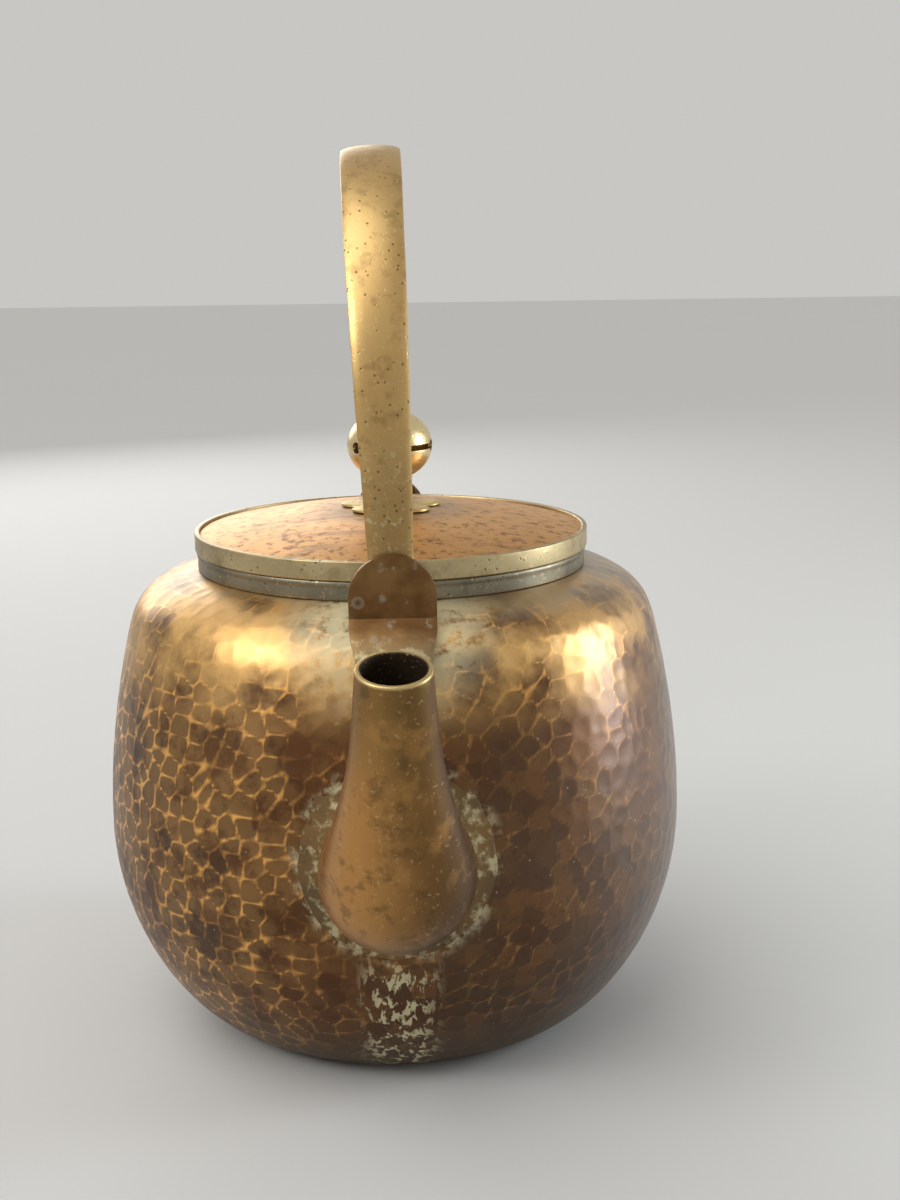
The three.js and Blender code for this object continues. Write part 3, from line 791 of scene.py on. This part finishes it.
class EWER_OT_lugs(bpy.types.Operator):
    """Bend the two lugs and set their rivets"""
    bl_idname = "ewer.lugs"
    bl_label = "Lugs and pins"

    def execute(self, context):
        patina = lug_patina()
        pin_brass = rubbed_brass("pin_brass", colours().bronze, (0.07, 0.045, 0.03), colours().salt, 0.6)
        for end, turn in (("front", 0.0), ("rear", math.pi)):
            rotation = Matrix.Rotation(turn, 3, "Z")
            piece = finish_mesh(self.lug_mesh(), f"{end}_lug_plate", patina, 40.0)
            piece.data.transform(rotation.to_4x4())
            settle(piece, "ewer", f"{end}_lug")
            pin = finish_mesh(self.pin_mesh(), f"{end}_rivet", pin_brass, 40.0)
            pin.data.transform(rotation.to_4x4())
            settle(pin, "ewer", f"{end}_pivot_pin")
        return {"FINISHED"}

    def lug_mesh(self):
        """A round-topped plate whose foot bends forward down the shoulder."""
        outline = body_curve(6)
        half = LUG_HIGH.x
        top = LUG_HIGH.z
        face_y = -67.5 * MM
        wall = 2.4 * MM
        foot_wall = 1.7 * MM
        foot_reach = 75.3 * MM
        foot_half = 8.5 * MM
        centre = top - half
        made = bmesh.new()
        rows = []
        for k in range(25):
            turn = math.pi / 2 * k / 24
            rows.append((half * math.sin(turn), centre + half * math.cos(turn), "plate"))
        fold = radius_height(outline, 67.5 * MM) + 0.6 * MM
        for k in range(1, 7):
            rows.append((half, centre + (fold + 2.2 * MM - centre) * k / 6, "plate"))
        for k in range(1, 11):
            rows.append((half + (foot_half - half) * (k / 10) ** 2, k / 10, "foot"))
        columns = 12
        skins = []
        for thick in (True, False):
            skin = []
            for width, level, part in rows:
                line = []
                for j in range(columns + 1):
                    x = width * (2 * j / columns - 1)
                    if part == "plate":
                        y = face_y if thick else face_y + wall
                        z = level
                    else:
                        reach = 66.8 * MM + (foot_reach - 66.8 * MM) * level
                        z_skin = radius_height(outline, math.hypot(reach, x * 0.9))
                        rise = (0.32 * MM + foot_wall) if thick else 0.32 * MM
                        tip = 1.0 if level < 0.95 or not thick else 0.55
                        y = -reach - (0.75 * rise * tip if thick else 0.0)
                        z = z_skin + rise * 0.75 * tip
                    line.append(made.verts.new((x, y, z)))
                skin.append(line)
            skins.append(skin)
        for skin, flip in zip(skins, (False, True)):
            for upper, lower in zip(skin, skin[1:]):
                for j in range(columns):
                    loop = [upper[j], upper[j + 1], lower[j + 1], lower[j]]
                    made.faces.new(loop if flip else loop[::-1])
        edges = [e for e in made.edges if len(e.link_faces) == 1]
        bmesh.ops.remove_doubles(made, verts=made.verts, dist=1e-7)
        edges = [e for e in made.edges if len(e.link_faces) == 1]
        bmesh.ops.bridge_loops(made, edges=edges)
        rim = [e for e in made.edges if e.is_manifold and e.calc_face_angle(0.0) > math.radians(55)]
        bmesh.ops.bevel(made, geom=rim, offset=0.4 * MM, offset_type="OFFSET", segments=3, profile=0.5,
                        affect="EDGES", material=-1, clamp_overlap=True)
        return made

    def pin_mesh(self):
        """A rivet flush with the lug's face, domed on the inside."""
        low, high = PIN_LOW.y, PIN_HIGH.y
        shank = 2.0 * MM
        head = PIN_HIGH.x
        rise = 1.4 * MM
        total = high - low
        sunk = 0.5 * MM
        points = [(0.0, sunk), (shank, sunk), (shank, total - rise), (head, total - rise)]
        points += [(head * math.cos(math.pi / 2 * k / 6), total - rise + rise * math.sin(math.pi / 2 * k / 6))
                   for k in range(1, 6)]
        points.append((0.0, total))
        made = turned(points, 48)
        height = (PIN_LOW.z + PIN_HIGH.z) / 2
        bmesh.ops.rotate(made, cent=(0, 0, 0), matrix=Matrix.Rotation(-math.pi / 2, 3, "X"), verts=made.verts)
        bmesh.ops.translate(made, vec=(0, low, height), verts=made.verts)
        return made


def radius_height(outline, radius):
    """Height of the shoulder's skin at a radius."""
    for (r0, z0), (r1, z1) in zip(reversed(outline[1:]), reversed(outline[:-1])):
        if r0 <= radius <= r1:
            t = (radius - r0) / (r1 - r0) if r1 > r0 else 0.0
            return z0 + (z1 - z0) * t
    return outline[-1][1]


class EWER_OT_handle(bpy.types.Operator):
    """Bend the handle strap over the lid, leaning as it stands"""
    bl_idname = "ewer.handle"
    bl_label = "Handle strap"

    def execute(self, context):
        s = sizes()
        pivot = 139 * MM
        lean = math.radians(2)
        outer = 64.8 * MM
        wall = s.strap_wall
        middle = outer - wall / 2
        top = 248.2 * MM
        arch = top - wall / 2 - middle
        places = []
        leg, curve = 14, 64
        stations = [(-middle, pivot + (arch - pivot) * k / leg, 0.0) for k in range(leg)]
        stations += [(-middle * math.cos(math.pi * k / curve), arch + middle * math.sin(math.pi * k / curve),
                      math.pi * k / curve) for k in range(curve + 1)]
        stations += [(middle, pivot + (arch - pivot) * k / leg, math.pi) for k in range(leg - 1, -1, -1)]
        for y, z, turn in stations:
            rise = (z - pivot) / (top - pivot)
            half = (s.strap_foot_width + (s.strap_crown_width - s.strap_foot_width) * rise) / 2
            out = Vector((0, -math.cos(turn), math.sin(turn)))
            along = Vector((0, math.sin(turn), math.cos(turn)))
            places.append(Matrix((
                (half, 0, 0, 0),
                (0, out.y * wall / 2, along.y, y),
                (0, out.z * wall / 2, along.z, z),
                (0, 0, 0, 1),
            )))
        section = [(-0.97, -1.0), (-0.6, -1.0), (0.0, -1.0), (0.6, -1.0), (0.97, -1.0), (1.0, -0.86), (1.0, -0.2),
                   (0.985, 0.16), (0.9, 0.42), (0.7, 0.72), (0.4, 0.92), (0.0, 1.0),
                   (-0.4, 0.92), (-0.7, 0.72), (-0.9, 0.42), (-0.985, 0.16), (-1.0, -0.2), (-1.0, -0.86)]
        made, _, _ = lofted(section, places)
        for side in (-1, 1):
            disc = [(0.0, 0.0), (6.3 * MM, 0.0), (6.3 * MM, wall), (0.0, wall)]
            eye = turned(rounded(disc, 0.5 * MM, closed=False), 64)
            bmesh.ops.rotate(eye, cent=(0, 0, 0), matrix=Matrix.Rotation(side * -math.pi / 2, 3, "X"),
                             verts=eye.verts)
            bmesh.ops.translate(eye, vec=(0, side * (outer - wall), pivot), verts=eye.verts)
            mesh = bpy.data.meshes.new("eye_part")
            eye.to_mesh(mesh)
            eye.free()
            made.from_mesh(mesh)
            bpy.data.meshes.remove(mesh)
        for vert in made.verts:
            ripple = noise.noise(vert.co * 55.0) * 0.22 * MM
            vert.co.x += ripple
        to_pivot = Matrix.Translation((0, 0, pivot))
        turn = to_pivot @ Matrix.Rotation(-lean, 4, "Y") @ to_pivot.inverted()
        bmesh.ops.transform(made, matrix=turn, verts=made.verts)
        piece = finish_mesh(made, "handle_bail", strap_brass(), 40.0)
        settle(piece, "handle", "handle_strap")
        return {"FINISHED"}


class EWER_OT_lid(bpy.types.Operator):
    """Turn the lid's plate, band and ring"""
    bl_idname = "ewer.lid"
    bl_label = "Lid"

    def execute(self, context):
        c = colours()
        bore = 2.55 * MM
        edge = PLATE_HIGH.x
        top, low = PLATE_HIGH.z, PLATE_LOW.z
        wall = 1.2 * MM
        rise = top - low - wall
        upper = [(edge * t / 40, top - rise * (t / 40) ** 2) for t in range(2, 41)]
        lower = [(r, z - wall) for r, z in upper]
        points = [(bore, top - 0.01 * MM), *upper, *reversed(lower), (bore, top - wall - 0.01 * MM)]
        plate = finish_mesh(turned(points, 192, closed=True), "lid_dome", lid_copper())
        settle(plate, "lid", "lid_plate")

        outer, bottom, crest = BAND_HIGH.x, BAND_LOW.z, BAND_HIGH.z
        lip = outer - 1.5 * MM
        ledge_radius, ledge = 51.95 * MM, bottom + 3.2 * MM
        outline = [(ledge_radius, bottom), (outer, bottom), (outer, crest), (lip, crest), (lip, ledge),
                   (ledge_radius, ledge)]
        band_brass = rubbed_brass("band_brass", c.grey_brass, (0.2, 0.15, 0.075), c.salt, 0.5)
        band = finish_mesh(turned(rounded(outline, 0.45 * MM), 256, closed=True), "lid_band", band_brass)
        settle(band, "lid", "lid_rim_band")

        ring = [(RING_HIGH.x - 1.2 * MM, RING_LOW.z), (RING_HIGH.x, RING_LOW.z), (RING_HIGH.x, RING_HIGH.z),
                (RING_HIGH.x - 1.2 * MM, RING_HIGH.z)]
        ring_copper = rubbed_brass("ring_copper", (0.2, 0.11, 0.07), (0.07, 0.05, 0.04), c.salt, 0.6)
        skirt = finish_mesh(turned(rounded(ring, 0.3 * MM), 192, closed=True), "lid_skirt", ring_copper)
        settle(skirt, "lid", "lid_flange")
        for material_slot in frame_object("lid_stem_washer").material_slots:
            material_slot.material = ring_copper
        return {"FINISHED"}


def frame_object(node):
    """The Blender object of a frame node."""
    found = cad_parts[node]
    return found if isinstance(found, bpy.types.Object) else bpy.data.objects[node]


class EWER_OT_knob(bpy.types.Operator):
    """Turn the slit ball, its stem and the petals below"""
    bl_idname = "ewer.knob"
    bl_label = "Knob"

    def execute(self, context):
        c = colours()
        bell_brass = rubbed_brass("bell_brass", (0.78, 0.62, 0.33), (0.34, 0.23, 0.1), (0.8, 0.76, 0.62), 0.4,
                                  rough_base=0.2)
        bell = finish_mesh(self.bell_mesh(), "slit_ball", bell_brass, 40.0)
        cut_slit(bell)
        settle(bell, "lid", "knob_bell")

        base, top = FLOWER_HIGH.z + 0.05 * MM, STEM_HIGH.z
        tail = STEM_LOW.z
        collar, waist, shank = 4.2 * MM, 3.0 * MM, 2.4 * MM
        points = [(0.0, tail), (2.5 * MM, tail), (3.6 * MM, tail + 0.65 * MM), (3.6 * MM, tail + 1.3 * MM),
                  (shank, tail + 1.3 * MM), (shank, base), (collar, base), (collar, base + 1.3 * MM),
                  (waist * 1.08, base + 2.6 * MM), (waist * 0.94, base + 4.2 * MM), (waist, top), (0.0, top)]
        stem_brass = rubbed_brass("stem_brass", c.bronze, (0.08, 0.055, 0.03), c.salt, 0.6)
        stem = finish_mesh(turned(rounded(points, 0.3 * MM, closed=False), 64), "knob_post", stem_brass)
        settle(stem, "lid", "knob_stem")

        petal_brass = rubbed_brass("petal_brass", (0.72, 0.52, 0.2), (0.3, 0.2, 0.08), c.salt, 0.4)
        petals = finish_mesh(self.petal_mesh(), "flower_petals", petal_brass, 50.0)
        settle(petals, "lid", "lid_flower_seat")
        return {"FINISHED"}

    def bell_mesh(self):
        """The ball's outer skin as one closed shell; cut_slit hollows it and cuts the slit."""
        wide = BELL_HIGH.x
        tall = (BELL_HIGH.z - BELL_LOW.z) / 2
        centre = (BELL_HIGH.z + BELL_LOW.z) / 2
        made = bmesh.new()
        bmesh.ops.create_uvsphere(made, u_segments=96, v_segments=64, radius=1.0)
        bmesh.ops.scale(made, vec=(wide, wide, tall), verts=made.verts)
        bmesh.ops.translate(made, vec=(0, 0, centre), verts=made.verts)
        return made

    def petal_mesh(self):
        """Five round petals, cupped at their tips."""
        low, high = FLOWER_LOW.z, FLOWER_HIGH.z
        petals, count = 5, 160
        reach, round_radius = 9.0 * MM, 5.6 * MM
        made = bmesh.new()
        rings = 14
        wall = high - low
        pitch = FULL_TURN / petals
        skins = []
        for level in (1, 0):
            skin = []
            for k in range(rings + 1):
                t = k / rings
                line = []
                for j in range(count):
                    turn = FULL_TURN * j / count
                    local = (turn + math.pi / 2) % pitch - pitch / 2
                    edge = reach * math.cos(local) + math.sqrt(
                        max(0.0, round_radius ** 2 - (reach * math.sin(local)) ** 2))
                    radius = 2.5 * MM + (edge - 2.5 * MM) * t
                    groove = 0.28 * MM * t * (1 - math.cos(local / pitch * FULL_TURN)) * 0.5
                    drop = 0.1 * MM * t * t + groove
                    thin = wall * (0.72 if level and t > 0.96 else 1.0)
                    z = low + (thin if level else 0.0) - (drop if level else 0.0)
                    line.append(made.verts.new((radius * math.cos(turn), radius * math.sin(turn), z)))
                skin.append(line)
            skins.append(skin)
        top, under = skins
        for skin, flip in ((top, False), (under, True)):
            for inner, outer in zip(skin, skin[1:]):
                for j in range(count):
                    loop = [inner[j], outer[j], outer[(j + 1) % count], inner[(j + 1) % count]]
                    made.faces.new(loop[::-1] if flip else loop)
        for ring in (0, -1):
            for j in range(count):
                nxt = (j + 1) % count
                loop = [top[ring][j], top[ring][nxt], under[ring][nxt], under[ring][j]]
                made.faces.new(loop if ring == 0 else loop[::-1])
        return made


def cut_slit(piece):
    """Hollow the ball and cut a level slit across its front that ends in two round eyes."""
    wide = BELL_HIGH.x
    tall = (BELL_HIGH.z - BELL_LOW.z) / 2
    centre = (BELL_HIGH.z + BELL_LOW.z) / 2
    wall = 1.1 * MM
    eye_turn = math.radians(65)
    slit_turn = Matrix.Rotation(math.radians(13), 3, "Z")
    cutters = []
    inner = bmesh.new()
    bmesh.ops.create_uvsphere(inner, u_segments=64, v_segments=40, radius=1.0)
    bmesh.ops.scale(inner, vec=(wide - wall, wide - wall, tall - wall), verts=inner.verts)
    bmesh.ops.translate(inner, vec=(0, 0, centre), verts=inner.verts)
    cutters.append(inner)
    slit = bmesh.new()
    bmesh.ops.create_cube(slit, size=1.0)
    near = wide * math.cos(eye_turn) / 2
    bmesh.ops.scale(slit, vec=(2 * wide * math.sin(eye_turn), wide, 1.5 * MM), verts=slit.verts)
    bmesh.ops.translate(slit, vec=(0, -near - wide / 2, centre), verts=slit.verts)
    cutters.append(slit)
    for side in (-1, 1):
        eye = bmesh.new()
        bmesh.ops.create_cone(eye, cap_ends=True, segments=24, radius1=1.6 * MM, radius2=1.6 * MM, depth=wide)
        bmesh.ops.rotate(eye, cent=(0, 0, 0), matrix=Matrix.Rotation(math.pi / 2, 3, "X"), verts=eye.verts)
        bmesh.ops.translate(eye, vec=(0, -wide, 0), verts=eye.verts)
        bmesh.ops.rotate(eye, cent=(0, 0, 0), matrix=Matrix.Rotation(side * eye_turn, 3, "Z"), verts=eye.verts)
        bmesh.ops.translate(eye, vec=(0, 0, centre), verts=eye.verts)
        cutters.append(eye)
    for cutter in cutters[1:]:
        bmesh.ops.rotate(cutter, cent=(0, 0, 0), matrix=slit_turn, verts=cutter.verts)
    for index, cutter in enumerate(cutters):
        mesh = bpy.data.meshes.new(f"cutter_{index}")
        cutter.to_mesh(mesh)
        cutter.free()
        tool = bpy.data.objects.new(f"cutter_{index}", mesh)
        bpy.context.scene.collection.objects.link(tool)
        cut = piece.modifiers.new("cut", "BOOLEAN")
        cut.operation = "DIFFERENCE"
        cut.object = tool
        cut.solver = "EXACT"
        bpy.context.view_layer.update()
        result = bpy.data.meshes.new_from_object(piece.evaluated_get(bpy.context.evaluated_depsgraph_get()))
        piece.modifiers.clear()
        result.materials.clear()
        for material in piece.data.materials:
            result.materials.append(material)
        piece.data = result
        bpy.data.objects.remove(tool)


def area_light(name, place, target, size, power, tint=(1, 1, 1)):
    """A soft square lamp aimed at a point."""
    data = bpy.data.lights.new(name, "AREA")
    data.shape = "RECTANGLE"
    data.size, data.size_y = size
    data.energy = power
    data.color = tint
    lamp = bpy.data.objects.new(name, data)
    lamp.location = place
    lamp.rotation_euler = (Vector(target) - Vector(place)).to_track_quat("-Z", "Y").to_euler()
    bpy.context.scene.collection.objects.link(lamp)


class EWER_OT_stage(bpy.types.Operator):
    """Set the floor, the light and the camera"""
    bl_idname = "ewer.stage"
    bl_label = "Stage"

    def execute(self, context):
        scene = context.scene
        made = bmesh.new()
        bmesh.ops.create_grid(made, x_segments=2, y_segments=2, size=3.0)
        bmesh.ops.translate(made, vec=(0, 1.0, 0), verts=made.verts)
        floor = finish_mesh(made, "floor", plain_stage())
        self.world(scene)
        area_light("window_light", (0.85, 0.02, 0.28), (0, 0, 0.08), (0.22, 0.5), 4.6, (0.84, 0.92, 1.0))
        area_light("left_light", (-0.7, -0.45, 0.6), (0, 0, 0.08), (0.3, 0.3), 2.6)
        area_light("back_light", (-0.45, 1.1, 0.5), (0, 0, 0.12), (0.9, 0.5), 4.5)
        self.sun(scene)
        self.camera(scene)
        scene.view_settings.view_transform = "Standard"
        return {"FINISHED"}

    def sun(self, scene):
        """A wide, soft sun that lights the floor evenly."""
        data = bpy.data.lights.new("soft_sun", "SUN")
        data.energy = 1.5
        data.angle = math.radians(60)
        lamp = bpy.data.objects.new("soft_sun", data)
        lamp.rotation_euler = Vector((0.55, 0.3, -1.0)).to_track_quat("-Z", "Y").to_euler()
        scene.collection.objects.link(lamp)

    def world(self, scene):
        world = bpy.data.worlds.new("studio")
        world.use_nodes = True
        scene.world = world
        background = world.node_tree.nodes["Background"]
        background.inputs["Color"].default_value = (0.8, 0.79, 0.76, 1)
        background.inputs["Strength"].default_value = 0.72

    def camera(self, scene):
        """The photograph's camera, fitted to the outline of the body and the lid."""
        image_height = 1200
        focal_pixels = 1800
        sensor = 36.0
        data = bpy.data.cameras.new("photo_camera")
        data.sensor_width = sensor
        data.sensor_fit = "AUTO"
        data.lens = focal_pixels / image_height * sensor
        data.clip_start = 0.01
        camera = bpy.data.objects.new("photo_camera", data)
        pitch, yaw, roll = math.radians(12.33), math.radians(1.87), math.radians(-0.69)
        turn = (Matrix.Rotation(-yaw, 4, "Z") @ Matrix.Rotation(math.pi / 2 - pitch, 4, "X")
                @ Matrix.Rotation(roll, 4, "Z"))
        camera.matrix_world = Matrix.Translation((0, -0.50883, 0.23135)) @ turn
        scene.collection.objects.link(camera)
        scene.camera = camera


class EWER_PT_panel(bpy.types.Panel):
    """Sizes, colours and the pieces of the ewer"""
    bl_idname = "EWER_PT_panel"
    bl_label = "Copper water ewer"
    bl_space_type = "VIEW_3D"
    bl_region_type = "UI"
    bl_category = "Ewer"

    def draw(self, context):
        for group in (context.scene.ewer_sizes, context.scene.ewer_colours):
            box = self.layout.box()
            for name in group.__annotations__:
                box.prop(group, name)
        for piece in PIECES:
            self.layout.operator(piece.bl_idname)


PIECES = (EWER_OT_body, EWER_OT_neck, EWER_OT_spout, EWER_OT_spout_collar, EWER_OT_lugs, EWER_OT_handle,
          EWER_OT_lid, EWER_OT_knob, EWER_OT_stage)
CLASSES = (EwerSizes, EwerColours, *PIECES, EWER_PT_panel)


def register():
    for made in CLASSES:
        bpy.utils.register_class(made)
    bpy.types.Scene.ewer_sizes = PointerProperty(type=EwerSizes)
    bpy.types.Scene.ewer_colours = PointerProperty(type=EwerColours)


def unregister():
    del bpy.types.Scene.ewer_colours
    del bpy.types.Scene.ewer_sizes
    for made in reversed(CLASSES):
        bpy.utils.unregister_class(made)


def main():
    register()
    for piece in PIECES:
        group, name = piece.bl_idname.split(".")
        getattr(getattr(bpy.ops, group), name)()


if __name__ == "__main__":
    main()
